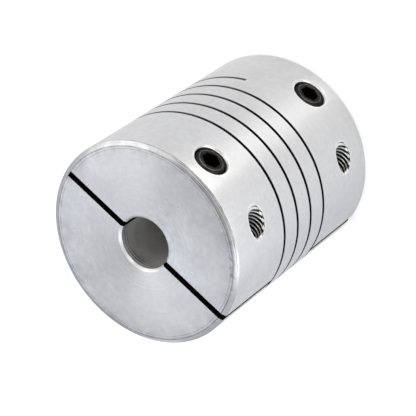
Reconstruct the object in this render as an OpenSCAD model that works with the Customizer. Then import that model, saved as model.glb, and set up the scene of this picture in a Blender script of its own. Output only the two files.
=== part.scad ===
// Flexible shaft coupling: one turned bar with a helical slot, two clamp hubs and their screws.
// The shaft axis is Z. The coupling stands on its lower end, and the origin is the middle of that end.
// The open side of the hub slits faces +X, and the set screws face +Y.

/* [Body] */
// Outer diameter of the body
body_d = 25; // [24:0.5:28]
// Length of the body, end face to end face
body_len = 30; // [29:0.5:34]
// Width of the edge bevel, measured across each end face
rim_bevel_w = 0.6; // [0.3:0.1:0.9]
// Height of the edge bevel, measured along the side
rim_bevel_h = 0.3; // [0.2:0.1:0.6]

/* [Bore] */
// Diameter of the shaft bore in each hub
bore_d = 6.35; // [5:0.05:8]
// Bevel at the mouth of the bore
bore_bevel = 0.3; // [0.2:0.1:0.5]
// Gap beside the shaft where the bore is opened out behind the helical slot
relief_gap = 0.8; // [0.5:0.1:1.5]
// Length by which that wider bore runs past each end of the helical slot
relief_lead = 1; // [0.5:0.1:1.5]

/* [Helical slot] */
// Width of the helical slot
groove_w = 0.4; // [0.3:0.05:0.6]
// Rise of the helical slot in one turn
groove_pitch = 3; // [2.7:0.1:3.2]
// Angle that the helical slot runs through from end to end
groove_sweep = 1560; // [1500:10:1600]

/* [Hub slits] */
// Width of the slit through each clamp hub
slit_w = 0.8; // [0.5:0.1:1.2]
// Wall left closed at the outer side, where the clamp hub bends
hinge_wall = 0.6; // [0.5:0.1:1.2]

/* [Clamp screws] */
// Thread diameter of the clamp screws
clamp_d = 3; // [2.5:0.5:3.5]
// Length of the clamp screws under the head
clamp_len = 8; // [7:0.5:10]
// Head diameter of the clamp screws
clamp_head_d = 5.5; // [5:0.1:6]
// Head height of the clamp screws
clamp_head_h = 3; // [2.5:0.1:3.5]
// Width across the flats of the hex socket in the clamp screws
clamp_hex = 2.5; // [2:0.5:3]
// Depth of the hex socket in the clamp screws
clamp_hex_depth = 1.5; // [1:0.1:1.8]
// Distance of the clamp screws from the end faces
clamp_from_end = 5; // [4.5:0.1:5.5]
// Distance of the clamp screws from the open side of the body
clamp_from_side = 4.5; // [4.1:0.1:4.7]
// Distance of the seat under the screw head from the middle of the slit
clamp_seat = 3.2; // [2.5:0.1:3.5]

/* [Set screws] */
// Thread diameter of the set screws
set_d = 4; // [3:0.5:5]
// Length of the set screws
set_len = 8; // [6:0.5:8.5]
// Width across the flats of the hex socket in the set screws
set_hex = 2; // [1.5:0.5:2.5]
// Depth of the hex socket in the set screws
set_hex_depth = 2; // [1.5:0.1:3]
// Distance of the set screws from the end faces
set_from_end = 4; // [3.5:0.1:5]
// Depth of the outer end of the set screws below the side of the body
set_sunk = 0.1; // [0:0.1:0.8]
// Bevel at the ends of the screws
screw_bevel = 0.5; // [0.2:0.1:0.6]

/* [Fits] */
// Gap between a screw thread and the wall of its hole, on each side
thread_gap = 0.05; // [0.02:0.01:0.1]
// Gap between the shank of a clamp screw and its plain hole, on each side
shank_gap = 0.2; // [0.1:0.05:0.3]
// Gap between the head of a clamp screw and its pocket, on each side
head_gap = 0.25; // [0.1:0.05:0.4]

/* [Hidden] */
$fn = 96;
body_r = body_d / 2;
bore_r = bore_d / 2;
relief_r = bore_r + relief_gap;
clamp_x = body_r - clamp_from_side;
middle = body_len / 2;
half_turn = 180;
full_turn = 360;
// Cutting shapes pass the walls that they cut by this much
overcut = 1;
// Half of the height that the helical slot climbs, and half of the height of the wider bore
groove_half_rise = groove_pitch * groove_sweep / full_turn / 2;
relief_half_len = groove_half_rise + relief_lead;
// The slot is drawn with this many straight steps in each turn
groove_steps_per_turn = 48;
groove_steps = ceil(groove_sweep / full_turn * groove_steps_per_turn);
// Turns from the middle of the slot to its last pass on the closed and on the open side of the slits
turns_to_hinge = floor(groove_sweep / 2 / full_turn);
turns_to_mouth = floor((groove_sweep / 2 - half_turn) / full_turn) + 0.5;
clamp_heights = [clamp_from_end, body_len - clamp_from_end];
set_heights = [set_from_end, body_len - set_from_end];
// Point of a set screw: the cup in its tip and the cone round it
set_cup_d = set_d / 2;
set_cup_depth = set_d / 8;
set_cone_h = set_d / 4;

// Corner of the slot's section at one step: at radius r, on the upper (1) or lower (-1) wall
function groove_corner(step, r, wall) =
    let (turned = groove_sweep * (step / groove_steps - 0.5))
    [
        r * cos(half_turn + turned),
        r * sin(half_turn + turned),
        middle + groove_pitch * turned / full_turn + wall * groove_w / 2
    ];

function groove_section(step) = [
    groove_corner(step, relief_r - overcut, -1),
    groove_corner(step, body_r + overcut, -1),
    groove_corner(step, body_r + overcut, 1),
    groove_corner(step, relief_r - overcut, 1)
];

// One side of the slot's section between two steps, as two triangles, split the same way on both walls
function groove_side(step, i) =
    let (a = 4 * step, b = a + 4, j = (i + 1) % 4)
    i < 2
        ? [[a + i, b + j, b + i], [a + i, a + j, b + j]]
        : [[b + i, a + j, b + j], [b + i, a + i, a + j]];

// The helical slot as a solid, swept along its turns
module groove() {
    points = [for (step = [0:groove_steps]) each groove_section(step)];
    sides = [for (step = [0:groove_steps - 1]) for (i = [0:3]) each groove_side(step, i)];
    first = [3, 2, 1, 0];
    last = [for (i = [0:3]) 4 * groove_steps + i];
    polyhedron(points = points, faces = concat([first], sides, [last]), convexity = 10);
}

// The bar as it leaves the lathe, with its bevels, its bore and the wider bore behind the slot
module turned_bar() {
    rotate_extrude()
        polygon([
            [bore_r + bore_bevel, 0],
            [body_r - rim_bevel_w, 0],
            [body_r, rim_bevel_h],
            [body_r, body_len - rim_bevel_h],
            [body_r - rim_bevel_w, body_len],
            [bore_r + bore_bevel, body_len],
            [bore_r, body_len - bore_bevel],
            [bore_r, middle + relief_half_len],
            [relief_r, middle + relief_half_len],
            [relief_r, middle - relief_half_len],
            [bore_r, middle - relief_half_len],
            [bore_r, bore_bevel]
        ]);
}

// The slit of the upper hub: open at +X, closed by the hinge wall at -X, and down to the slot
module hub_slit() {
    rotate([90, 0, 0])
        linear_extrude(height = slit_w, center = true)
            polygon([
                [hinge_wall - body_r, middle + turns_to_hinge * groove_pitch],
                [body_r + overcut, middle + turns_to_mouth * groove_pitch],
                [body_r + overcut, body_len + overcut],
                [hinge_wall - body_r, body_len + overcut]
            ]);
}

module both_hub_slits() {
    hub_slit();
    translate([0, 0, body_len])
        rotate([half_turn, 0, 0])
            hub_slit();
}

// A cylinder along Y, from one y to the other
module cross_cylinder(d, from_y, to_y) {
    translate([0, to_y, 0])
        rotate([90, 0, 0])
            cylinder(d = d, h = to_y - from_y);
}

// Thread on the +Y side of the slit, plain hole on the -Y side, and a pocket for the head
module clamp_screw_hole() {
    cross_cylinder(clamp_d + 2 * thread_gap, 0, body_r);
    cross_cylinder(clamp_d + 2 * shank_gap, -clamp_seat - overcut, 0);
    cross_cylinder(clamp_head_d + 2 * head_gap, -body_r, -clamp_seat);
}

module set_screw_hole() {
    cross_cylinder(set_d + 2 * thread_gap, 0, body_r + overcut);
}

module hex_socket(width, depth) {
    cylinder(d = width / cos(30), h = depth, $fn = 6);
}

// Screw that pulls the slit hub together, head down, its seat at z = 0 and its tip at +Z
module clamp_screw() {
    difference() {
        rotate_extrude()
            polygon([
                [0, -clamp_head_h],
                [clamp_head_d / 2 - screw_bevel / 2, -clamp_head_h],
                [clamp_head_d / 2, screw_bevel / 2 - clamp_head_h],
                [clamp_head_d / 2, 0],
                [clamp_d / 2, 0],
                [clamp_d / 2, clamp_len - screw_bevel],
                [clamp_d / 2 - screw_bevel, clamp_len],
                [0, clamp_len]
            ]);
        translate([0, 0, -clamp_head_h - overcut])
            hex_socket(clamp_hex, clamp_hex_depth + overcut);
    }
}

// Headless screw with a cup point, its socket end at z = 0 and its tip at -Z
module set_screw() {
    difference() {
        rotate_extrude()
            polygon([
                [0, 0],
                [set_d / 2 - screw_bevel, 0],
                [set_d / 2, -screw_bevel],
                [set_d / 2, set_cone_h - set_len],
                [set_cup_d / 2, -set_len],
                [0, set_cup_depth - set_len]
            ]);
        translate([0, 0, -set_hex_depth])
            hex_socket(set_hex, set_hex_depth + overcut);
    }
}

module coupling_body() {
    color("gainsboro")
        difference() {
            turned_bar();
            groove();
            both_hub_slits();
            for (height = clamp_heights)
                translate([clamp_x, 0, height])
                    clamp_screw_hole();
            for (height = set_heights)
                translate([0, 0, height])
                    set_screw_hole();
        }
}

module placed_set_screw(height) {
    color("dimgray")
        translate([0, body_r - set_sunk, height])
            rotate([-90, 0, 0])
                set_screw();
}

module placed_clamp_screw(height) {
    color("dimgray")
        translate([clamp_x, -clamp_seat, height])
            rotate([-90, 0, 0])
                clamp_screw();
}

module upper_set_screw() {
    placed_set_screw(set_heights[1]);
}

module lower_set_screw() {
    placed_set_screw(set_heights[0]);
}

module upper_clamp_screw() {
    placed_clamp_screw(clamp_heights[1]);
}

module lower_clamp_screw() {
    placed_clamp_screw(clamp_heights[0]);
}

coupling_body();
upper_set_screw();
lower_set_screw();
upper_clamp_screw();
lower_clamp_screw();
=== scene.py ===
# %% [markdown]
# # A flexible shaft coupling
# This file dresses one machine part: a turned aluminium bar whose middle is a spring. A helical
# slot, cut through the wall, lets the two ends bend a little against each other. Each end is a hub
# with a slit, a clamp screw that closes it, and a set screw that presses on the shaft.
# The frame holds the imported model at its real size, so everything here is measured from it.

# %% Load the frame
import math
from collections import namedtuple

import bmesh
import bpy
from mathutils import Matrix, Vector


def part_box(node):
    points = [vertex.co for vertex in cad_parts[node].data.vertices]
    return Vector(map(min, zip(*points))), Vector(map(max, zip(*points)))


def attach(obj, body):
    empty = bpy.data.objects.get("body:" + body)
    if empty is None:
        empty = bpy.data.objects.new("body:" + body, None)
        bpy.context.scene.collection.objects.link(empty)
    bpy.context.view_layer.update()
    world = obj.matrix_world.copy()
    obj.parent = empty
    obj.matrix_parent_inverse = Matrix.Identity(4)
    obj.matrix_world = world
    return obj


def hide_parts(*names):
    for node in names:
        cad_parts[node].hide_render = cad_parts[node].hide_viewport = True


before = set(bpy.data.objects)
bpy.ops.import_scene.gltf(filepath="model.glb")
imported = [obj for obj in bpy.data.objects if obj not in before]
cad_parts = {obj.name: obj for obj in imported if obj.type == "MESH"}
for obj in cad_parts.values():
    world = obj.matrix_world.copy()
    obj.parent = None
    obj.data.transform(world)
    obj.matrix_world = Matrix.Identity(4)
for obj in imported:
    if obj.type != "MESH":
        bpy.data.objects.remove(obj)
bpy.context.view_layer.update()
MM = 0.001


def in_mm(lengths):
    """Lengths in metres as rounded millimetres, for printing."""
    return [round(v / MM, 3) for v in lengths]


# %% [markdown]
# ## Sizes
# The outer sizes come from the frame, so they can't drift from it. The small ones, such as the
# width of a slot, are the ones a maker would read off the drawing. Blender counts in metres here,
# and the drawing in millimetres, so each of them is written as a number times MM.

# %% Sizes from the frame
body_low, body_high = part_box("coupling_body")
length = body_high[2] - body_low[2]
radius = (body_high[0] - body_low[0]) / 2
middle = (body_high[2] + body_low[2]) / 2
print("length and radius, mm:", in_mm((length, radius)))

# %% Sizes from the drawing
rim_bevel_w = 0.6 * MM
rim_bevel_h = 0.3 * MM
bore_r = 3.175 * MM
bore_bevel = 0.3 * MM
relief_r = bore_r + 0.8 * MM
relief_half = 7.5 * MM
slot_w = 0.4 * MM
slot_pitch = 3 * MM
slot_sweep = math.radians(1560)
slot_start = math.radians(120)
slit_w = 0.8 * MM
hinge_wall = 0.6 * MM
# Cutting shapes pass the walls that they cut by this much
overcut = 1 * MM

# %% [markdown]
# ## Where the screws sit
# Each screw is a node of the frame, so its own box says where it is. The set screws point at the
# shaft along Y, 4 mm from the ends. The clamp screws also lie along Y, 5 mm from the ends, and
# cross the slits on their open side.


# %% Places of the screws
def node_centre(node):
    """Middle of a CAD node's box."""
    low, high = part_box(node)
    return [(a + b) / 2 for a, b in zip(low, high)]


set_nodes = ["upper_set_screw", "lower_set_screw"]
clamp_nodes = ["upper_clamp_screw", "lower_clamp_screw"]
set_heights = [node_centre(node)[2] for node in set_nodes]
clamp_heights = [node_centre(node)[2] for node in clamp_nodes]
clamp_x = node_centre(clamp_nodes[0])[0]
set_tip, set_top = (corner[1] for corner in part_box(set_nodes[0]))
clamp_back, clamp_tip = (corner[1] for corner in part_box(clamp_nodes[0]))
clamp_head_h = 3 * MM
clamp_seat = clamp_back + clamp_head_h
print("set screws at z, mm:", in_mm(set_heights), "top at y:", in_mm([set_top]))
print("clamp screws at z, mm:", in_mm(clamp_heights), "at x:", in_mm([clamp_x]))

# %% [markdown]
# ## Small helpers
# A piece is drawn as a bmesh, shaped by operators, and turned into an object only when it is
# ready. Cuts are made with Boolean modifiers, which are applied straight away, so that the finished
# piece holds plain faces and nothing waits to be worked out later. A cut can leave two points
# almost on each other, so the last step on a piece merges them and marks the sharp edges.

# %% From bmesh to object
part_room = bpy.context.scene.collection


def to_object(shape, name, materials, closed=True):
    """Turns a bmesh into an object at the origin. The faces of a closed shape look outwards."""
    if closed:
        bmesh.ops.recalc_face_normals(shape, faces=shape.faces)
    mesh = bpy.data.meshes.new(name)
    shape.to_mesh(mesh)
    shape.free()
    for material in materials:
        mesh.materials.append(material)
    item = bpy.data.objects.new(name, mesh)
    part_room.objects.link(item)
    return item


# %% Cutting one shape with others
def bake(item):
    """Applies every modifier on an object."""
    graph = bpy.context.evaluated_depsgraph_get()
    baked = bpy.data.meshes.new_from_object(item.evaluated_get(graph), depsgraph=graph)
    item.modifiers.clear()
    old = item.data
    item.data = baked
    bpy.data.meshes.remove(old)


def cut(item, tools, operation="DIFFERENCE"):
    """Cuts an object with others, one after another, and clears the others away."""
    for tool in tools:
        step = item.modifiers.new("cut", "BOOLEAN")
        step.operation = operation
        step.object = tool
        step.solver = "MANIFOLD"
        bake(item)
        mesh = tool.data
        bpy.data.objects.remove(tool)
        bpy.data.meshes.remove(mesh)


# %% Sharp edges
# Points that a cut leaves closer together than this are merged
SAME_POINT = 0.0002 * MM
# Two faces that meet at a larger angle than this meet in a sharp edge
SHARP_ANGLE = math.radians(30)


def sharpen(item):
    """Merges points that the cuts left side by side, and shades smooth between sharp edges."""
    shape = bmesh.new()
    shape.from_mesh(item.data)
    bmesh.ops.remove_doubles(shape, verts=shape.verts, dist=SAME_POINT)
    for face in shape.faces:
        face.smooth = True
    for edge in shape.edges:
        edge.smooth = edge.is_manifold and edge.calc_face_angle(0) < SHARP_ANGLE
    shape.to_mesh(item.data)
    shape.free()


# %% Placing, painting and spinning
# A shape that is drawn upright along +Z lies along +Y once it is turned by this
ALONG_Y = Matrix.Rotation(math.radians(-90), 3, "X")


def place(shape, turn=Matrix.Identity(3), to=(0, 0, 0)):
    """Turns and then moves everything in a bmesh."""
    bmesh.ops.rotate(shape, verts=shape.verts, cent=(0, 0, 0), matrix=turn)
    bmesh.ops.translate(shape, verts=shape.verts, vec=to)


def paint(shape, index):
    """Gives every face of a bmesh one material index."""
    for face in shape.faces:
        face.material_index = index


def spin(shape, geom, steps, angle=math.tau, rise=0.0, merge=False):
    """Spins part of a bmesh round Z, while it climbs by the rise."""
    bmesh.ops.spin(
        shape,
        geom=geom,
        cent=(0, 0, 0),
        axis=(0, 0, 1),
        dvec=(0, 0, rise / steps),
        angle=angle,
        steps=steps,
        use_merge=merge,
    )


# %% Lathe work
# An outline that ends at the axis stops this far from it, and what it spins there is merged
CENTRE_R = 0.001 * MM
MERGE_AT_AXIS = 2.5 * CENTRE_R


def turned(outline, steps):
    """Spins a closed outline of (radius, height) points round Z, as a lathe does."""
    shape = bmesh.new()
    corners = [shape.verts.new((r, 0, z)) for r, z in outline]
    rim = [shape.edges.new((a, b)) for a, b in zip(corners, corners[1:] + corners[:1])]
    spin(shape, corners + rim, steps, merge=True)
    bmesh.ops.remove_doubles(shape, verts=shape.verts, dist=MERGE_AT_AXIS)
    wires = [edge for edge in shape.edges if not edge.link_faces]
    bmesh.ops.delete(shape, geom=wires, context="EDGES")
    bmesh.ops.recalc_face_normals(shape, faces=shape.faces)
    return shape


def round_rings(shape, offset, least_degrees=15):
    """Rounds the ring edges of a turned shape a little."""
    rings = [e for e in shape.edges if e.calc_face_angle(0) > math.radians(least_degrees)]
    bmesh.ops.bevel(
        shape,
        geom=rings,
        affect="EDGES",
        offset=offset,
        offset_type="OFFSET",
        segments=2,
        profile=0.5,
        material=-1,
        clamp_overlap=True,
    )


# %% Bars and prisms
def bar(r, low, high, steps=72):
    """A plain closed bar round Z, round or six-sided."""
    shape = bmesh.new()
    made = bmesh.ops.create_cone(
        shape, cap_ends=True, segments=steps, radius1=r, radius2=r, depth=high - low
    )
    bmesh.ops.translate(shape, verts=made["verts"], vec=(0, 0, (high + low) / 2))
    return shape


def prism(corners, along):
    """A flat outline pushed along a direction."""
    shape = bmesh.new()
    side = shape.faces.new([shape.verts.new(corner) for corner in corners])
    grown = bmesh.ops.extrude_face_region(shape, geom=[side])
    moved = [g for g in grown["geom"] if isinstance(g, bmesh.types.BMVert)]
    bmesh.ops.translate(shape, verts=moved, vec=along)
    return shape


# %% [markdown]
# ## Threads
# A thread is one outline, a row of ridges, that climbs by one ridge while it turns once. So the
# outline is spun round the axis with a rise of one pitch, and its end lands on its own start, one
# ridge further up. Two flat cuts then give it clean ends. The same shape serves twice: as a tool
# that cuts a tapped hole, and, a hair thinner, as the screw itself.

# %% A threaded rod
THREAD_STEPS = 48
# Points of two turns that lie closer together than this are one point
SAME_TURN = 0.0001 * MM
# Points closer to a cutting plane than this lie on it
ON_PLANE = 0.00001 * MM


def threaded_rod(crest, root, pitch, low, high):
    """A closed rod with an outside thread, from one height to the other on Z."""
    shape = bmesh.new()
    first = math.floor(low / pitch) - 2
    last = math.ceil(high / pitch) + 2
    # Each ridge starts as a flat at the root, and its other corners lie at these shares of a pitch
    flat_end, crest_start, crest_end = 0.16, 0.46, 0.68
    ridge = ((root, 0.0), (root, flat_end), (crest, crest_start), (crest, crest_end))
    points = [(r, (turn + share) * pitch) for turn in range(first, last) for r, share in ridge]
    corners = [shape.verts.new((r, 0, z)) for r, z in points]
    line = [shape.edges.new(pair) for pair in zip(corners, corners[1:])]
    spin(shape, corners + line, THREAD_STEPS, rise=pitch)
    bmesh.ops.remove_doubles(shape, verts=shape.verts, dist=SAME_TURN)
    for height, outward in ((low, -1), (high, 1)):
        sliced = bmesh.ops.bisect_plane(
            shape,
            geom=shape.verts[:] + shape.edges[:] + shape.faces[:],
            dist=ON_PLANE,
            plane_co=(0, 0, height),
            plane_no=(0, 0, outward),
            clear_outer=True,
        )
        edges = [g for g in sliced["geom_cut"] if isinstance(g, bmesh.types.BMEdge)]
        bmesh.ops.contextual_create(shape, geom=edges)
    return shape


# %% [markdown]
# ## Finishes
# Three things make this metal look handled and real, and each is a node group that any of the
# materials can use. The first is turning marks. Everything that was turned carries fine rings round
# its axis: circles on an end face, and lines at one height on the side. Both depend only on how far
# a point is from the axis and how high it is, so one pattern of those two numbers suits them all.


# %% Materials and values
def new_material(name):
    """An empty node material with its Principled shader and output."""
    material = bpy.data.materials.new(name)
    material.use_nodes = True
    nodes = material.node_tree.nodes
    nodes.clear()
    shader = nodes.new("ShaderNodeBsdfPrincipled")
    output = nodes.new("ShaderNodeOutputMaterial")
    material.node_tree.links.new(shader.outputs["BSDF"], output.inputs["Surface"])
    return material, shader


def feed(tree, value, socket):
    """Puts a number into a socket, or links another socket to it."""
    if isinstance(value, (int, float)):
        socket.default_value = value
    else:
        tree.links.new(value, socket)


def maths(tree, operation, *values):
    """A Math node whose inputs are sockets or plain numbers."""
    node = tree.nodes.new("ShaderNodeMath")
    node.operation = operation
    for socket, value in zip(node.inputs, values):
        feed(tree, value, socket)
    return node.outputs[0]


def product(tree, first, *others):
    """Multiplies several values."""
    for other in others:
        first = maths(tree, "MULTIPLY", first, other)
    return first


def largest(tree, first, *others):
    """Picks the largest of several values."""
    for other in others:
        first = maths(tree, "MAXIMUM", first, other)
    return first


def ramp(tree, value, low, high, to_low=0.0, to_high=1.0):
    """Maps one range of a value onto another, held at both ends."""
    node = tree.nodes.new("ShaderNodeMapRange")
    feed(tree, value, node.inputs["Value"])
    for name, number in (("From Min", low), ("From Max", high), ("To Min", to_low), ("To Max", to_high)):
        feed(tree, number, node.inputs[name])
    return node.outputs[0]


# %% Groups, places and noise
def new_group(name, inputs, outputs):
    """A node group with named number sockets."""
    group = bpy.data.node_groups.new(name, "ShaderNodeTree")
    for socket in inputs:
        group.interface.new_socket(name=socket, in_out="INPUT", socket_type="NodeSocketFloat")
    for socket in outputs:
        group.interface.new_socket(name=socket, in_out="OUTPUT", socket_type="NodeSocketFloat")
    return group, group.nodes.new("NodeGroupInput"), group.nodes.new("NodeGroupOutput")


def hypotenuse(tree, a, b):
    """Distance of a point that lies a one way and b the other."""
    return maths(tree, "SQRT", maths(tree, "ADD", product(tree, a, a), product(tree, b, b)))


Spot = namedtuple("Spot", "coords x y z from_axis")


def place_of_point(tree):
    """A point's object coordinates, and its distance from the shaft axis."""
    coords = tree.nodes.new("ShaderNodeTexCoord").outputs["Object"]
    split = tree.nodes.new("ShaderNodeSeparateXYZ")
    tree.links.new(coords, split.inputs[0])
    x, y, z = split.outputs
    return Spot(coords, x, y, z, hypotenuse(tree, x, y))


def height_from_middle(tree, z):
    """How far a height is from the middle of the body, up or down."""
    return maths(tree, "ABSOLUTE", maths(tree, "SUBTRACT", z, middle))


# A noise seldom leaves this range
NOISE_RANGE = (0.3, 0.7)


def noise(tree, vector, scale, detail, roughness=0.5):
    """A Noise texture's grey value."""
    node = tree.nodes.new("ShaderNodeTexNoise")
    for name, value in (("Scale", scale), ("Detail", detail), ("Roughness", roughness)):
        node.inputs[name].default_value = value
    tree.links.new(vector, node.inputs["Vector"])
    return node.outputs["Fac"]


# %% Group: turning marks
def turning_marks_group():
    """Fine rings round Z, drawn from the distance to the axis and the height."""
    group, entry, leave = new_group("turning marks", ["Ring Scale"], ["Rings"])
    spot = place_of_point(group)
    rings_at = group.nodes.new("ShaderNodeCombineXYZ")
    scale = entry.outputs["Ring Scale"]
    group.links.new(product(group, spot.from_axis, scale), rings_at.inputs[0])
    group.links.new(product(group, spot.z, scale), rings_at.inputs[1])
    rings = noise(group, rings_at.outputs[0], scale=1.0, detail=5.0, roughness=0.7)
    group.links.new(rings, leave.inputs["Rings"])
    return group


turning_marks = turning_marks_group()

# %% [markdown]
# The second group is handling: soft clouds where the metal was touched and wiped, and small dark
# pits where parts knocked together in their box. The clouds are noise at two sizes. The pits are
# Voronoi cells, of which only a few are kept, each with a dark dot at its centre.


# %% Group: handling marks
def handling_marks_group():
    """Clouds and pits over a part that has been handled."""
    group, entry, leave = new_group("handling marks", ["Pit Size"], ["Clouds", "Pits"])
    coords = place_of_point(group).coords
    wide = noise(group, coords, scale=260.0, detail=5.0, roughness=0.6)
    small = noise(group, coords, scale=1500.0, detail=4.0, roughness=0.6)
    clouds = maths(group, "ADD", product(group, wide, 0.55), product(group, small, 0.45))
    cells = group.nodes.new("ShaderNodeTexVoronoi")
    cells.inputs["Scale"].default_value = 1300.0
    group.links.new(coords, cells.inputs["Vector"])
    pick = group.nodes.new("ShaderNodeSeparateColor")
    group.links.new(cells.outputs["Color"], pick.inputs[0])
    kept_share = 0.16
    chosen = maths(group, "LESS_THAN", pick.outputs[0], kept_share)
    near = maths(group, "LESS_THAN", cells.outputs["Distance"], entry.outputs["Pit Size"])
    group.links.new(clouds, leave.inputs["Clouds"])
    group.links.new(product(group, chosen, near), leave.inputs["Pits"])
    return group


handling_marks = handling_marks_group()

# %% [markdown]
# The third group is the rim, and each of its masks starts from how far a point lies in from the
# rim. The last pass of the turning tool leaves fine dark lines on and beside the bevel of each end
# face, and where the tool chattered, near the set screws, there are two more. That edge takes the
# most knocks, so the lines break up and dark scuffs sit beside them.

# %% Rim masks: tool lines and scuffs
# Each line is how far in it lies, half its width, and how strong it is
TOOL_LINES = ((0.62 * MM, 0.1 * MM, 1.0), (0.95 * MM, 0.07 * MM, 0.6))
CHATTER_LINES = ((0.2 * MM, 0.085 * MM, 1.0), (0.4 * MM, 0.085 * MM, 0.9))


def ring_line(tree, distance, value, half_width):
    """1 where a distance has this value, fading to 0 at half the line's width."""
    away = maths(tree, "ABSOLUTE", maths(tree, "SUBTRACT", distance, value))
    return ramp(tree, away, half_width, 0.0)


def ring_lines(tree, distance, lines):
    """Several ring lines in one mask."""
    return largest(tree, *(product(tree, ring_line(tree, distance, v, w), s) for v, w, s in lines))


def tool_lines(tree, spot, inward, by_screw):
    """Broken dark lines of the turning tool, with chatter near the set screws."""
    outer = ring_line(tree, inward, 0.04 * MM, 0.08 * MM)
    outer = product(tree, outer, ramp(tree, spot.y, 8 * MM, 10 * MM, 0.12, 1.0))
    chatter = product(tree, ring_lines(tree, inward, CHATTER_LINES), by_screw)
    lines = largest(tree, ring_lines(tree, inward, TOOL_LINES), outer, chatter)
    gaps = noise(tree, spot.coords, scale=700.0, detail=5.0, roughness=0.7)
    return product(tree, lines, ramp(tree, gaps, 0.42, 0.58, 0.45, 1.0))


def scuff_marks(tree, spot, inward):
    """Dark specks beside the bevel, most of them on the open side."""
    band = ring_line(tree, inward, 0.75 * MM, 0.55 * MM)
    grit = noise(tree, spot.coords, scale=1900.0, detail=6.0, roughness=0.75)
    patches = ramp(tree, noise(tree, spot.coords, scale=150.0, detail=2.0), 0.45, 0.58)
    open_side = product(tree, ramp(tree, spot.x, 4 * MM, 8 * MM), ramp(tree, spot.y, 0, 4 * MM))
    knocked = largest(tree, product(tree, patches, 0.5), open_side)
    return product(tree, band, ramp(tree, grit, 0.53, 0.6), knocked)


# %% [markdown]
# Two more masks belong to the rim. Dust darkens the outer part of the face in patches, and the
# bevel is brighter beside the slit and the set screws, where a burr was filed off.


# %% Rim masks: dust and filed metal
def dust_patches(tree, spot, inward):
    """Mottled dust, growing towards the rim."""
    mottle = noise(tree, spot.coords, scale=420.0, detail=6.0, roughness=0.7)
    return product(tree, ramp(tree, inward, 3.0 * MM, 0.8 * MM), ramp(tree, mottle, 0.42, 0.6))


def filed_parts(tree, spot, inward, by_screw):
    """The bevel where a burr was filed off."""
    on_bevel = ramp(tree, inward, 0.5 * MM, 0.4 * MM)
    short_of_end = ramp(tree, spot.x, 11.6 * MM, 9.5 * MM)
    beside_slit = product(tree, ramp(tree, spot.x, 5 * MM, 8 * MM), short_of_end)
    return product(tree, on_bevel, largest(tree, beside_slit, product(tree, by_screw, 0.6)))


# %% Group: rim lines
def rim_lines_group():
    """The four masks of the rim, kept to the end faces and their bevels."""
    outputs = ["Lines", "Scuffs", "Dust", "Filed"]
    group, entry, leave = new_group("rim lines", ["Rim Radius"], outputs)
    spot = place_of_point(group)
    inward = maths(group, "SUBTRACT", entry.outputs["Rim Radius"], spot.from_axis)
    end_height = length / 2 - rim_bevel_h - 0.02 * MM
    near_end = maths(group, "GREATER_THAN", height_from_middle(group, spot.z), end_height)
    screw_side = ramp(group, spot.y, 5 * MM, 9 * MM)
    by_screw = product(group, screw_side, ramp(group, spot.x, -4.5 * MM, -1.5 * MM))
    masks = (
        tool_lines(group, spot, inward, by_screw),
        scuff_marks(group, spot, inward),
        dust_patches(group, spot, inward),
        filed_parts(group, spot, inward, by_screw),
    )
    for name, mask in zip(outputs, masks):
        group.links.new(product(group, mask, near_end), leave.inputs[name])
    return group


rim_lines = rim_lines_group()

# %% [markdown]
# Round the mouth of each tapped hole a pale ring is painted into the colour, a painted highlight along
# its edge. The holes lie along Y, so a point's distance from the axis of its hole needs only its x and
# its z, and one group works it out for both hubs.


# %% Group: hole wall
def hole_wall_group():
    """Distance from the axis of a pair of holes that lie along Y, one in each hub."""
    group, entry, leave = new_group("hole wall", ["Across", "From Middle"], ["Distance"])
    spot = place_of_point(group)
    dx = maths(group, "SUBTRACT", spot.x, entry.outputs["Across"])
    dz = maths(group, "SUBTRACT", height_from_middle(group, spot.z), entry.outputs["From Middle"])
    group.links.new(hypotenuse(group, dx, dz), leave.inputs["Distance"])
    return group


hole_wall = hole_wall_group()


def use_group(tree, group, **values):
    """Places a node group, with its inputs set by name."""
    node = tree.nodes.new("ShaderNodeGroup")
    node.node_tree = group
    for name, value in values.items():
        node.inputs[name.replace("_", " ")].default_value = value
    return node


# %% Tapped holes
# A tap leaves valleys out to one radius and ridges in to another, one ridge to each pitch
Tap = namedtuple("Tap", "valley_r ridge_r pitch")
M3_TAP = Tap(1.5 * MM, 1.25 * MM, 0.5 * MM)
M4_TAP = Tap(2.03 * MM, 1.68 * MM, 0.7 * MM)
# Where each pair of holes lies across the body, and how far from its middle
CLAMP_HOLES = (clamp_x, clamp_heights[0] - middle)
SET_HOLES = (0.0, set_heights[0] - middle)
# Radius of each mouth in the body's side
CLAMP_EDGE_R = M3_TAP.valley_r
SET_EDGE_R = 2.17 * MM


def from_hole(tree, holes):
    """Distance of a point from the axis of its hole."""
    across, from_middle = holes
    return use_group(tree, hole_wall, Across=across, From_Middle=from_middle).outputs["Distance"]


def painted_hole_halo(tree):
    """A painted highlight: 1 just outside the mouths of the tapped holes, and 0 elsewhere."""
    edges = []
    for holes, edge_r in ((CLAMP_HOLES, CLAMP_EDGE_R), (SET_HOLES, SET_EDGE_R)):
        edges.append(ramp(tree, from_hole(tree, holes), edge_r + 0.24 * MM, edge_r + 0.1 * MM))
    tapped_side = maths(tree, "GREATER_THAN", place_of_point(tree).y, 0.0)
    return product(tree, largest(tree, *edges), tapped_side)


# %% [markdown]
# ## Bare aluminium
# Bare aluminium is a mirror broken up by its turning marks. Light that hits them spreads across the
# marks and stays sharp along them, which draws the bright fans on the end face. The Principled
# shader calls this anisotropy, and it needs to know which way the marks run: the radial tangent
# round Z gives that direction on every turned surface. The groups then darken the colour and change
# the roughness a little, and the rings also raise a very fine bump.


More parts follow.
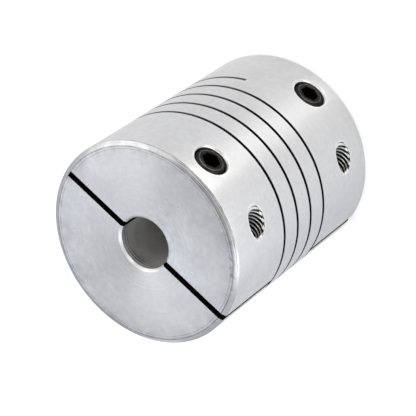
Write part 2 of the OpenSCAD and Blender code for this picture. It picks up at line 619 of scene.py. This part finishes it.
# %% Colours and shader inputs
def mix_colour(tree, amount, low, high):
    """Blends two colours by a mask."""
    node = tree.nodes.new("ShaderNodeMix")
    node.data_type = "RGBA"
    feed(tree, amount, node.inputs["Factor"])
    for name, colour in (("A", low), ("B", high)):
        if isinstance(colour, tuple):
            node.inputs[name].default_value = (*colour, 1)
        else:
            tree.links.new(colour, node.inputs[name])
    return node.outputs["Result"]


def layered(tree, colour, *layers):
    """Lays colours over a first one, each through its own mask."""
    for mask, shade in layers:
        colour = mix_colour(tree, mask, colour, shade)
    return colour


def feed_shader(tree, shader, metallic, colour, roughness, relief, relief_h):
    """Feeds a colour, a roughness and a bump from a pattern to a shader."""
    shader.inputs["Metallic"].default_value = metallic
    tree.links.new(colour, shader.inputs["Base Color"])
    tree.links.new(roughness, shader.inputs["Roughness"])
    bump = tree.nodes.new("ShaderNodeBump")
    bump.inputs["Distance"].default_value = relief_h
    tree.links.new(relief, bump.inputs["Height"])
    tree.links.new(bump.outputs["Normal"], shader.inputs["Normal"])


def radial_grain(tree, shader, amount):
    """Makes a surface brushed round the Z axis."""
    shader.inputs["Anisotropic"].default_value = amount
    shader.inputs["Anisotropic Rotation"].default_value = 0.25
    along = tree.nodes.new("ShaderNodeTangent")
    along.direction_type = "RADIAL"
    along.axis = "Z"
    tree.links.new(along.outputs["Tangent"], shader.inputs["Tangent"])


# %% [markdown]
# The side, the end faces and the bevels were each cut with another tool, so one function makes three
# finishes, each with its own contrast of the rings and roughness. Each also gets its own brightness, and
# that is painted light and shade: it makes the side lighter and the end faces and the bevels darker, as
# the light falls on them.

# %% Material: turned aluminium
METAL_SHADE = 0.88
WIPED_SHADE = 0.78
# The metal reflects this much more blue than red
BLUE = 1.005
PIT_COLOUR = (0.2, 0.2, 0.2)
DUST_COLOUR = (0.5, 0.5, 0.52)
# Pale colour of the filed bevel, and of the painted highlight round the mouths of the tapped holes
BRUSHED_AND_HIGHLIGHT_COLOUR = (1.0, 1.0, 0.995)
LINE_COLOUR = (0.1, 0.1, 0.11)


def make_turned_aluminium(name, painted_light_tone, ring_contrast, roughness):
    """A bright turned finish, made lighter or darker by a painted light level."""
    material, shader = new_material(name)
    tree = material.node_tree
    radial_grain(tree, shader, 0.75)
    rings = use_group(tree, turning_marks, Ring_Scale=4000).outputs["Rings"]
    clouds, pits = use_group(tree, handling_marks, Pit_Size=0.11).outputs
    lines, scuffs, dust, filed = use_group(tree, rim_lines, Rim_Radius=radius).outputs
    shades = (METAL_SHADE - ring_contrast, METAL_SHADE + ring_contrast, WIPED_SHADE)
    dark, pale, wiped = ((v * painted_light_tone, v * painted_light_tone, v * painted_light_tone * BLUE) for v in shades)
    colour = layered(
        tree,
        mix_colour(tree, ramp(tree, rings, *NOISE_RANGE), dark, pale),
        (ramp(tree, clouds, 0.62, 0.4), wiped),
        (product(tree, pits, 0.3), PIT_COLOUR),
        (product(tree, dust, 0.62), DUST_COLOUR),
        # The bevel where a burr was filed off, and a painted highlight round the mouths of the tapped
        # holes.
        (largest(tree, painted_hole_halo(tree), filed), BRUSHED_AND_HIGHLIGHT_COLOUR),
        (product(tree, largest(tree, lines, scuffs), 0.85), LINE_COLOUR),
    )
    sway = 0.05
    by_rings = ramp(tree, rings, *NOISE_RANGE, sway, -sway)
    by_clouds = ramp(tree, clouds, 0.4, 0.62, sway, -sway)
    roughness = maths(tree, "ADD", maths(tree, "ADD", by_rings, by_clouds), roughness)
    feed_shader(tree, shader, 1.0, colour, roughness, relief=rings, relief_h=0.0006 * MM)
    return material


# The first number of each paints light and shade: the side lighter, the end faces and the bevels darker.
turned_aluminium = make_turned_aluminium("turned_metal", 1.05, 0.045, 0.40)
faced_aluminium = make_turned_aluminium("faced_metal", 0.88, 0.1, 0.36)
rim_aluminium = make_turned_aluminium("rim_metal", 0.8, 0.06, 0.34)

# %% [markdown]
# ## Inside the cuts
# A saw cut is dark because little light finds its way in and out again, and this shade is painted into
# the colour of its walls, which is nearly black. Only a hair of painted light, a dull grey, shows along
# its edge. It is a little wider towards -X, where light from the left gets further in.

# %% Material: sawn aluminium
SAWN_SHADE_DARK = (0.004, 0.004, 0.004)
SAWN_SHADE_PALE = (0.016, 0.015, 0.014)
SAWN_LIT_EDGE = (0.20, 0.18, 0.165)


def make_sawn_aluminium():
    """The walls of the helical slot and of the hub slits, with painted shade and a painted lit edge."""
    material, shader = new_material("sawn_aluminium")
    tree = material.node_tree
    spot = place_of_point(tree)
    saw_marks = noise(tree, spot.coords, scale=2600.0, detail=3.0)
    # Painted light: the lit edge is wider towards -X, and the rest of the wall is painted shade.
    lit_reach = ramp(tree, spot.x, -3.5 * MM, -6.5 * MM, 0.04 * MM, 0.22 * MM)
    painted_lit_edge = ramp(tree, maths(tree, "ADD", spot.from_axis, lit_reach), radius, radius + 0.04 * MM)
    deep = mix_colour(tree, saw_marks, SAWN_SHADE_DARK, SAWN_SHADE_PALE)
    colour = mix_colour(tree, painted_lit_edge, deep, SAWN_LIT_EDGE)
    roughness = ramp(tree, saw_marks, *NOISE_RANGE, 0.5, 0.65)
    feed_shader(tree, shader, 0.8, colour, roughness, relief=saw_marks, relief_h=0.004 * MM)
    return material


sawn_aluminium = make_sawn_aluminium()

# %% [markdown]
# The wall of the bore is smooth and grey, with streaks along it from the reamer, stains, and dark ring
# lines near the mouth. Further in it is painted paler, a painted light that lifts the shade deep in the
# bore.

# %% Material: bored aluminium
BORE_LINES = ((0.3 * MM, 0.32 * MM, 1.0), (0.85 * MM, 0.16 * MM, 1.0), (1.25 * MM, 0.12 * MM, 1.0))
LONG_IN_Z = (1.0, 1.0, 0.18)
BORE_DARK = (0.36, 0.352, 0.347)
BORE_PALE = (0.46, 0.45, 0.443)
BORE_STAIN = (0.13, 0.13, 0.13)
BORE_PAINTED_LIGHT = (0.85, 0.84, 0.83)
BORE_LINE = (0.06, 0.055, 0.055)


def make_bored_aluminium():
    """The wall of the bore, and of the plain holes on the screw heads' side."""
    material, shader = new_material("bored_aluminium")
    tree = material.node_tree
    spot = place_of_point(tree)
    along = tree.nodes.new("ShaderNodeVectorMath")
    along.operation = "MULTIPLY"
    along.inputs[1].default_value = LONG_IN_Z
    tree.links.new(spot.coords, along.inputs[0])
    streaks = noise(tree, along.outputs[0], scale=1400.0, detail=5.0, roughness=0.65)
    clouds = noise(tree, spot.coords, scale=500.0, detail=4.0)
    below_mouth = maths(tree, "SUBTRACT", length / 2, height_from_middle(tree, spot.z))
    lines = ring_lines(tree, below_mouth, BORE_LINES)
    colour = layered(
        tree,
        mix_colour(tree, ramp(tree, streaks, 0.35, 0.68), BORE_DARK, BORE_PALE),
        (ramp(tree, clouds, 0.5, 0.68, 0.0, 0.4), BORE_STAIN),
        # Painted light: paler further in from the mouth.
        (ramp(tree, below_mouth, 1.5 * MM, 6.5 * MM), BORE_PAINTED_LIGHT),
        (product(tree, lines, ramp(tree, clouds, 0.4, 0.55, 0.6, 1.0)), BORE_LINE),
    )
    roughness = ramp(tree, streaks, *NOISE_RANGE, 0.5, 0.4)
    feed_shader(tree, shader, 0.2, colour, roughness, relief=streaks, relief_h=0.003 * MM)
    return material


bored_aluminium = make_bored_aluminium()

# %% [markdown]
# In a tapped hole the ridges are bright, and the valleys between them are painted nearly black as shade,
# so there the colour follows the distance from the axis of the hole itself. Further in, all of it is
# painted dark as the shade deep in the hole.

# %% Material: tapped holes
RIDGE_DARK = (0.60, 0.60, 0.59)
RIDGE_PALE = (0.80, 0.80, 0.78)
VALLEY_SHADE = (0.015, 0.015, 0.015)
DEEP_SHADE = (0.02, 0.02, 0.02)


def make_tapped_aluminium(name, holes, ridge_r, deep_r):
    """A tapped hole: bright ridges, with painted shade in the valleys and over all of it further in."""
    material, shader = new_material(name)
    tree = material.node_tree
    spot = place_of_point(tree)
    specks = noise(tree, spot.coords, scale=3000.0, detail=4.0, roughness=0.6)
    valley = ramp(tree, from_hole(tree, holes), ridge_r + 0.03 * MM, ridge_r + 0.11 * MM)
    depth = ramp(tree, spot.from_axis, deep_r, deep_r + 1.3 * MM, 1.0, 0.0)
    colour = layered(
        tree,
        mix_colour(tree, specks, RIDGE_DARK, RIDGE_PALE),
        # Painted shade in the valleys, and deep in the hole.
        (product(tree, valley, 0.97), VALLEY_SHADE),
        (depth, DEEP_SHADE),
    )
    roughness = ramp(tree, specks, *NOISE_RANGE, 0.4, 0.52)
    feed_shader(tree, shader, 1.0, colour, roughness, relief=specks, relief_h=0.002 * MM)
    return material


tapped_m3 = make_tapped_aluminium("tapped_m3", CLAMP_HOLES, M3_TAP.ridge_r, 10.3 * MM)
tapped_m4 = make_tapped_aluminium("tapped_m4", SET_HOLES, 2.04 * MM, 9.6 * MM)

# %% [markdown]
# ## Black screws
# The screws are steel with a black oxide finish: a dark skin, slightly brown where it is thin. It is
# rubbed off in small spots, which come from noise. A paler ring round the top of each set screw is
# partly rubbed oxide and partly a painted highlight along that edge. The Bevel node would find such an
# edge by itself, but it can't travel with an exported model, so the ring comes from the distance to the
# screw's axis.

# %% Material: black steel
OXIDE_BLACK = (0.019, 0.018, 0.019)
OXIDE_BROWN = (0.036, 0.03, 0.027)
RUBBED_STEEL_AND_HIGHLIGHT = (0.25, 0.24, 0.23)


def make_black_steel():
    """Black oxide on steel."""
    material, shader = new_material("black_oxide")
    tree = material.node_tree
    spot = place_of_point(tree)
    clouds = noise(tree, spot.coords, scale=900.0, detail=5.0, roughness=0.6)
    grain = noise(tree, spot.coords, scale=6000.0, detail=3.0)
    skin = mix_colour(tree, ramp(tree, clouds, 0.4, 0.62), OXIDE_BLACK, OXIDE_BROWN)
    # A paler ring on the top edge of each set screw: partly rubbed oxide, partly a painted highlight.
    top_edge_wear_and_highlight = product(
        tree,
        ring_line(tree, from_hole(tree, SET_HOLES), 1.46 * MM, 0.1 * MM),
        maths(tree, "GREATER_THAN", spot.y, set_top - 0.15 * MM),
        ramp(tree, clouds, 0.35, 0.6, 0.35, 0.75),
    )
    worn_and_highlight = largest(tree, top_edge_wear_and_highlight, ramp(tree, grain, 0.62, 0.72, 0.0, 0.3))
    colour = mix_colour(tree, worn_and_highlight, skin, RUBBED_STEEL_AND_HIGHLIGHT)
    roughness = ramp(tree, grain, *NOISE_RANGE, 0.34, 0.5)
    feed_shader(tree, shader, 1.0, colour, roughness, relief=grain, relief_h=0.002 * MM)
    return material


black_steel = make_black_steel()
print("materials:", [m.name for m in bpy.data.materials])

# %% [markdown]
# ## The body
# A lathe leaves a bar with bevelled rims and a bore. The outline is spun in 240 steps, so each
# strip of the side turns by only 1.5 degrees and shades as a true cylinder. The wide bevels are part
# of the outline, and every ring edge then gets a hair of rounding, because no real edge is perfectly
# sharp and that hair is what catches the light. Each face gets its finish from where it lies and
# how far it leans.

# %% The turned bar
BODY_STEPS = 240
BODY_FINISHES = [
    turned_aluminium,
    sawn_aluminium,
    bored_aluminium,
    tapped_m3,
    tapped_m4,
    faced_aluminium,
    rim_aluminium,
]
BRIGHT, SAWN, BORED, TAP_M3, TAP_M4, FACED, RIM = range(len(BODY_FINISHES))
bar_outline = [
    (bore_r + bore_bevel, 0),
    (radius - rim_bevel_w, 0),
    (radius, rim_bevel_h),
    (radius, length - rim_bevel_h),
    (radius - rim_bevel_w, length),
    (bore_r + bore_bevel, length),
    (bore_r, length - bore_bevel),
    (bore_r, middle + relief_half),
    (relief_r, middle + relief_half),
    (relief_r, middle - relief_half),
    (bore_r, middle - relief_half),
    (bore_r, bore_bevel),
]
body_shape = turned(bar_outline, BODY_STEPS)
round_rings(body_shape, 0.05 * MM)


# %% Finish of each face
# A normal's height on a flat end, and at least on a bevel
END_LEANS = 0.97
BEVEL_LEANS = 0.6


def finish_of(face):
    """Material index of a face of the turned bar."""
    centre = face.calc_center_median()
    from_axis = math.hypot(centre.x, centre.y)
    face.normal_update()
    leans = abs(face.normal.z)
    near = 0.1 * MM
    in_relief = from_axis < relief_r + near and abs(centre.z - middle) < relief_half + near
    if in_relief or from_axis < bore_r + 0.02 * MM:
        return BORED
    if leans > END_LEANS:
        return FACED
    if leans > BEVEL_LEANS and from_axis > radius - rim_bevel_w - near:
        return RIM
    return BRIGHT


# A face's finish also sets how bright it is painted: the side lighter, the end faces and the bevels
# darker, as light falls on them.
for face in body_shape.faces:
    face.material_index = finish_of(face)
body = to_object(body_shape, "slotted_body", BODY_FINISHES)
print("turned bar faces:", len(body.data.polygons))

# %% [markdown]
# ## The helical slot
# A slitting saw follows the bar as it turns and climbs. The tool that cuts it here is the saw's
# section, a thin upright rectangle, swept by a spin that also rises. At the outer surface the
# section flares by a few hundredths of a millimetre, which takes the sharp edge off both lips of the
# slot. Its steps lie half way between those of the bar, so that no two edges fall on each other.

# %% The slot cutter
lip = 0.03 * MM
flare = 0.5 * MM


def slot_cutter():
    """The helical slot as a solid ribbon."""
    shape = bmesh.new()
    rise = slot_pitch * slot_sweep / math.tau
    low = middle - rise / 2
    section = [
        (relief_r - overcut, -slot_w / 2),
        (radius - lip, -slot_w / 2),
        (radius + flare, -slot_w / 2 - lip - flare),
        (radius + flare, slot_w / 2 + lip + flare),
        (radius - lip, slot_w / 2),
        (relief_r - overcut, slot_w / 2),
    ]
    corners = [shape.verts.new((r, 0, low + z)) for r, z in section]
    blade = shape.faces.new(corners)
    turn = Matrix.Rotation(slot_start, 3, "Z")
    bmesh.ops.rotate(shape, verts=corners, cent=(0, 0, 0), matrix=turn)
    steps = round(slot_sweep / math.tau * BODY_STEPS) - 1
    spin(shape, [blade], steps, angle=slot_sweep, rise=rise)
    # The lips get the sawn finish too, so its painted shade widens the dark line of the slot.
    paint(shape, SAWN)
    return to_object(shape, "slot_cutter", BODY_FINISHES)


# %% [markdown]
# ## The hub slits
# Each hub is sawn open on one side, so that its clamp screw can pull it tight. The saw stops just
# short of the far side, and the thin wall left there is the hinge. A narrow wedge along the mouth
# of the cut breaks its edges, as the flare does on the slot, and leaves them bright.

# %% Slit cutters
turns_to_hinge = math.floor(slot_sweep / 2 / math.tau)
turns_to_mouth = math.floor((slot_sweep / 2 - math.pi) / math.tau) + 0.5


def slit_cutters(upper):
    """The slit of one hub, from its end face down to the helical slot, and its broken edges."""
    low_x, high_x = hinge_wall - radius, radius + flare
    top, past_top = length / 2, length / 2 + flare
    side_low = turns_to_mouth * slot_pitch
    outline = [
        (low_x, -slit_w / 2, turns_to_hinge * slot_pitch),
        (high_x, -slit_w / 2, side_low),
        (high_x, -slit_w / 2, past_top),
        (low_x, -slit_w / 2, past_top),
    ]
    slit = prism(outline, (0, slit_w, 0))
    paint(slit, SAWN)
    half = slit_w / 2 + lip
    wide = half + flare
    end_wedge = [(low_x, 0, top - half), (low_x, wide, past_top), (low_x, -wide, past_top)]
    side_wedge = [(radius - half, 0, side_low), (high_x, wide, side_low), (high_x, -wide, side_low)]
    end_edge = prism(end_wedge, (high_x - low_x, 0, 0))
    side_edge = prism(side_wedge, (0, 0, past_top - side_low))
    made = []
    for shape in (slit, end_edge, side_edge):
        if not upper:
            place(shape, turn=Matrix.Rotation(math.pi, 3, "X"))
        place(shape, to=(0, 0, middle))
        made.append(to_object(shape, "slit_cutter", BODY_FINISHES))
    return made


# %% [markdown]
# ## The cross holes
# A tap leaves its thread in the wall, so the tapped holes are cut with a threaded rod. The mouths
# of the clamp screw holes were brushed smooth, which took the ridges off just below the surface.
# The set screw's hole is wider at its mouth, with only a trace of thread, and a countersink breaks
# its edge. The clamp screw passes a plain hole on the other half of the hub and sits in a pocket.

# %% Sizes of the cross holes
outside = radius + overcut
set_tap_y = 1.2 * MM
set_mouth_y = set_top - 0.9 * MM
set_mouth_tap = Tap(2.09 * MM, 2.02 * MM, M4_TAP.pitch)
sink_r = 2.08 * MM
sink_depth = 0.25 * MM
sink_growth = 0.6
clamp_tap_y = -0.2 * MM
brushed_r = 1.46 * MM
brushed_depth = 0.2 * MM
shank_hole_r = 1.7 * MM
pocket_r = 3.0 * MM


# %% Hole cutters
def lay_across(shape, name, x, y, z, finish):
    """Lays an upright cutting shape along Y and makes it a painted object."""
    place(shape, turn=ALONG_Y, to=(x, y, z))
    paint(shape, finish)
    return to_object(shape, name, BODY_FINISHES)


def tapped_hole(tap, x, z, from_y, to_y, finish):
    """A tapped hole along Y, from one depth to another."""
    return lay_across(threaded_rod(*tap, from_y, to_y), "tapped_hole", x, 0, z, finish)


def plain_hole(r, x, z, from_y, to_y):
    """A drilled hole along Y."""
    return lay_across(bar(r, from_y, to_y), "plain_hole", x, 0, z, BORED)


def countersink(x, z):
    """A cone along Y that breaks the edge of a set screw hole."""
    shape = bmesh.new()
    low_y, high_y = radius - sink_depth, radius + flare
    wide_r = sink_r + sink_growth * (high_y - low_y)
    bmesh.ops.create_cone(
        shape, cap_ends=True, segments=96, radius1=sink_r, radius2=wide_r, depth=high_y - low_y
    )
    return lay_across(shape, "countersink", x, (low_y + high_y) / 2, z, BRIGHT)


def brushed_mouth(x, z):
    """A rod along Y, kept only outside the body and just under its side."""
    mouth = lay_across(bar(brushed_r, 0, outside, steps=96), "brushed_mouth", x, 0, z, BRIGHT)
    core = bar(radius - brushed_depth, -overcut, length + overcut, steps=180)
    cut(mouth, [to_object(core, "core", BODY_FINISHES)])
    return mouth


# %% Cutting the body
cutters = [slot_cutter(), *slit_cutters(True), *slit_cutters(False)]
for z in set_heights:
    cutters.append(tapped_hole(M4_TAP, 0, z, set_tap_y, set_mouth_y + 0.1 * MM, TAP_M4))
    cutters.append(tapped_hole(set_mouth_tap, 0, z, set_mouth_y, outside, TAP_M4))
    cutters.append(countersink(0, z))
for z in clamp_heights:
    cutters.append(tapped_hole(M3_TAP, clamp_x, z, clamp_tap_y, outside, TAP_M3))
    cutters.append(brushed_mouth(clamp_x, z))
    cutters.append(plain_hole(shank_hole_r, clamp_x, z, clamp_seat - overcut, 0))
    cutters.append(plain_hole(pocket_r, clamp_x, z, -radius, clamp_seat))
cut(body, cutters)
sharpen(body)
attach(body, "root")
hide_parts("coupling_body")
print("body faces after", len(cutters), "cuts:", len(body.data.polygons))

# %% [markdown]
# ## The set screws
# A set screw has no head: the hex socket is in its end. It starts as a turned blank with a bevelled
# top and a cup point, is crossed with a threaded rod so that the thread fades out at both ends, and
# gets its socket last.

# %% Steps that all screws share
# The threaded rod that shapes a blank is wider than the blank by this much
CREST_CLEAR = 0.005 * MM


def steel(shape, name):
    """A black steel object."""
    return to_object(shape, name, [black_steel])


def hex_socket(flats, low, high):
    """A six-sided bar, measured across its flats."""
    return steel(bar(flats / 2 / math.cos(math.pi / 6), low, high, steps=6), "socket")


def lay_screw(screw, node, x, y, z):
    """Lays an upright screw along +Y and gives it its place in the frame."""
    screw.data.transform(Matrix.Translation((x, y, z)) @ ALONG_Y.to_4x4())
    sharpen(screw)
    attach(screw, "root")
    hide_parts(node)
    print(screw.name, "faces:", len(screw.data.polygons))


# %% Set screws
def set_screw(node, z):
    """One M4 set screw, drawn upright with its socket end at the top."""
    size = set_top - set_tip
    r = 1.99 * MM
    root_r = 1.62 * MM
    bevel = 0.5 * MM
    outline = [
        (CENTRE_R, 0),
        (r - bevel, 0),
        (r, -bevel),
        (r, -size + 1.0 * MM),
        (r / 2, -size),
        (CENTRE_R, -size + 0.5 * MM),
    ]
    blank = turned(outline, steps=72)
    round_rings(blank, 0.07 * MM, least_degrees=25)
    screw = steel(blank, node + "_threaded")
    thread_top = -bevel - 0.15 * MM
    rod = threaded_rod(r + CREST_CLEAR, root_r, M4_TAP.pitch, -size - overcut, thread_top)
    thread = steel(rod, "thread")
    collar = bar(r + overcut, thread_top - 0.05 * MM, overcut)
    cut(thread, [steel(collar, "collar")], "UNION")
    cut(screw, [thread], "INTERSECT")
    cut(screw, [hex_socket(2.0 * MM, -2.0 * MM, overcut)])
    lay_screw(screw, node, 0, set_top, z)


for node, z in zip(set_nodes, set_heights):
    set_screw(node, z)

# %% [markdown]
# ## The clamp screws
# These have a round head with a knurled side, so that fingers can start them. The knurl is made by
# spinning the head in an even number of steps and pushing every second column out a little. The
# shank is a threaded rod with a bevelled tip, and it joins the head with a Boolean union.


# %% Clamp screws: head and shank
def knurled_head(head_r, groove_depth, knurls):
    """A screw head with its seat at height 0, and knurls that stand out of its side."""
    groove_r = head_r - groove_depth
    outline = [
        (CENTRE_R, -clamp_head_h),
        (head_r - 0.35 * MM, -clamp_head_h),
        (groove_r, -clamp_head_h + 0.22 * MM),
        (groove_r, -0.15 * MM),
        (head_r - 0.3 * MM, 0),
        (CENTRE_R, 0),
    ]
    head = turned(outline, steps=2 * knurls)
    for vert in head.verts:
        from_axis = math.hypot(vert.co.x, vert.co.y)
        column = round(math.atan2(vert.co.y, vert.co.x) / math.tau * 2 * knurls)
        if abs(from_axis - groove_r) < 0.01 * MM and column % 2:
            vert.co.xy *= head_r / from_axis
    return head


def threaded_shank(r, root_r, size):
    """A threaded shank with a bevelled tip, which starts inside the head."""
    low = -0.4 * MM
    bevel = 0.5 * MM
    outline = [(CENTRE_R, low), (r, low), (r, size - bevel), (r - bevel, size), (CENTRE_R, size)]
    shank = steel(turned(outline, steps=72), "shank")
    rod = threaded_rod(r + CREST_CLEAR, root_r, M3_TAP.pitch, -overcut, size + overcut)
    cut(shank, [steel(rod, "thread")], "INTERSECT")
    return shank


# %% Clamp screws
def clamp_screw(node, z):
    """One M3 socket head screw, drawn with its seat at height 0 and its tip up."""
    head = knurled_head(2.75 * MM, groove_depth=0.08 * MM, knurls=40)
    screw = steel(head, node + "_knurled")
    cut(screw, [threaded_shank(1.48 * MM, 1.24 * MM, clamp_tip - clamp_seat)], "UNION")
    cut(screw, [hex_socket(2.5 * MM, -clamp_head_h - overcut, -clamp_head_h + 1.5 * MM)])
    lay_screw(screw, node, clamp_x, clamp_seat, z)


for node, z in zip(clamp_nodes, clamp_heights):
    clamp_screw(node, z)

# %% [markdown]
# ## Floor
# The picture has a plain white ground. The floor is a pale matt sheet, and only the camera sees it
# a little brighter than it is, so that it ends up white while the soft shadow stays.

# %% Floor
FLOOR_HALF = 1.5
PAPER_DARK = (0.76, 0.76, 0.768)
PAPER_PALE = (0.78, 0.78, 0.788)
CAMERA_GLOW = 0.47


def white_floor():
    """A wide pale floor under the part."""
    shape = bmesh.new()
    bmesh.ops.create_grid(shape, x_segments=1, y_segments=1, size=FLOOR_HALF)
    material, shader = new_material("floor_white")
    tree = material.node_tree
    fibres = noise(tree, place_of_point(tree).coords, scale=40.0, detail=3.0)
    tree.links.new(mix_colour(tree, fibres, PAPER_DARK, PAPER_PALE), shader.inputs["Base Color"])
    shader.inputs["Roughness"].default_value = 0.9
    shader.inputs["Emission Color"].default_value = (1, 1, 1, 1)
    path = tree.nodes.new("ShaderNodeLightPath")
    seen = product(tree, path.outputs["Is Camera Ray"], CAMERA_GLOW)
    tree.links.new(seen, shader.inputs["Emission Strength"])
    return to_object(shape, "floor", [material], closed=False)


floor = white_floor()

# %% [markdown]
# ## Light
# Metal shows little but what it mirrors, so the part stands in a bright room, like a photographer's
# white tent. The room is brightest near the horizon on the side of the set screws. On the other side
# the horizon is dark and a little cooler, and straight overhead the room is dim as well. These slow
# changes are what shades the side and the end faces.

# %% World
COOL_WHITE = (0.94, 0.96, 1.02)
WARM_WHITE = (1.0, 0.995, 0.98)
world = bpy.data.worlds.new("studio")
bpy.context.scene.world = world
world.use_nodes = True
sky = world.node_tree
background = sky.nodes["Background"]
towards = sky.nodes.new("ShaderNodeSeparateXYZ")
sky.links.new(sky.nodes.new("ShaderNodeTexCoord").outputs["Generated"], towards.inputs[0])
sky_y, sky_z = towards.outputs["Y"], towards.outputs["Z"]
at_horizon = ramp(sky, sky_y, -0.95, 0.3, 0.25, 1.0)
above_horizon = ramp(sky, sky_z, 0.0, 0.5, at_horizon, 0.82)
to_zenith = ramp(sky, sky_z, 0.72, 0.97, 1.0, 0.49)
sky.links.new(product(sky, above_horizon, to_zenith), background.inputs["Strength"])
tent_colour = mix_colour(sky, ramp(sky, sky_y, -0.6, 0.2), COOL_WHITE, WARM_WHITE)
sky.links.new(tent_colour, background.inputs["Color"])
print("world:", world.name)

# %% [markdown]
# Five soft lamps, all pale rectangles, add to that. A large one shines from the left of the picture,
# two low and flat ones draw the bright bands on the side, and two weak bluish ones fill in from the
# right and from behind.

# %% Lamps
LAMP_DISTANCE = 0.6
aim = Vector((0, 0, middle))


def soft_lamp(name, azimuth, elevation, width, height, energy, colour):
    """A soft lamp that looks at the part. Azimuth is counted from +X towards +Y, in degrees."""
    a, e = math.radians(azimuth), math.radians(elevation)
    away = Vector((math.cos(a) * math.cos(e), math.sin(a) * math.cos(e), math.sin(e)))
    data = bpy.data.lights.new(name, "AREA")
    data.shape = "RECTANGLE"
    data.size = width
    data.size_y = height
    data.energy = energy
    data.color = colour
    lamp = bpy.data.objects.new(name, data)
    lamp.location = aim + away * LAMP_DISTANCE
    lamp.rotation_euler = (-away).to_track_quat("-Z", "Y").to_euler()
    part_room.objects.link(lamp)


# Name, azimuth, elevation, width and height in metres, watts, colour
LAMPS = (
    ("left_lamp", 184, 46, 0.5, 0.5, 0.86, (1.0, 0.99, 0.965)),
    ("front_lamp", 92, 5, 0.24, 0.1, 1.05, (1.0, 0.975, 0.935)),
    ("low_lamp", 32, 5, 0.7, 0.1, 0.72, (0.98, 0.985, 1.0)),
    ("right_lamp", -5, 42, 0.32, 0.32, 0.3, (0.78, 0.88, 1.0)),
    ("back_lamp", 240, 34, 0.3, 0.3, 0.12, (0.85, 0.92, 1.0)),
)
for lamp_values in LAMPS:
    soft_lamp(*lamp_values)
print("lamps:", len(LAMPS))

# %% [markdown]
# ## Camera
# A long lens from about 23 cm looks down on the end face, 49 degrees above the horizon, and the
# camera is rolled so that the end face is at the lower left and the body runs up to the right.

# %% Camera
camera_at = Vector((0.0401, 0.14598, 0.19186))
looks_along = Vector((-0.16979, -0.63287, -0.75541)).normalized()
picture_up = Vector((-0.67369, 0.63399, -0.37973))
picture_right = looks_along.cross(picture_up).normalized()
picture_up = picture_right.cross(looks_along)
camera_data = bpy.data.cameras.new("camera")
camera_data.sensor_width = 36.0
camera_data.lens = 169.5
camera_data.clip_start = 0.01
camera_data.clip_end = 10.0
camera = bpy.data.objects.new("camera", camera_data)
turn = Matrix((picture_right, picture_up, -looks_along)).transposed()
camera.matrix_world = Matrix.Translation(camera_at) @ turn.to_4x4()
part_room.objects.link(camera)
bpy.context.scene.camera = camera
bpy.context.scene.view_settings.view_transform = "Standard"
print("camera from the part, mm:", round((camera_at - aim).length / MM, 1))
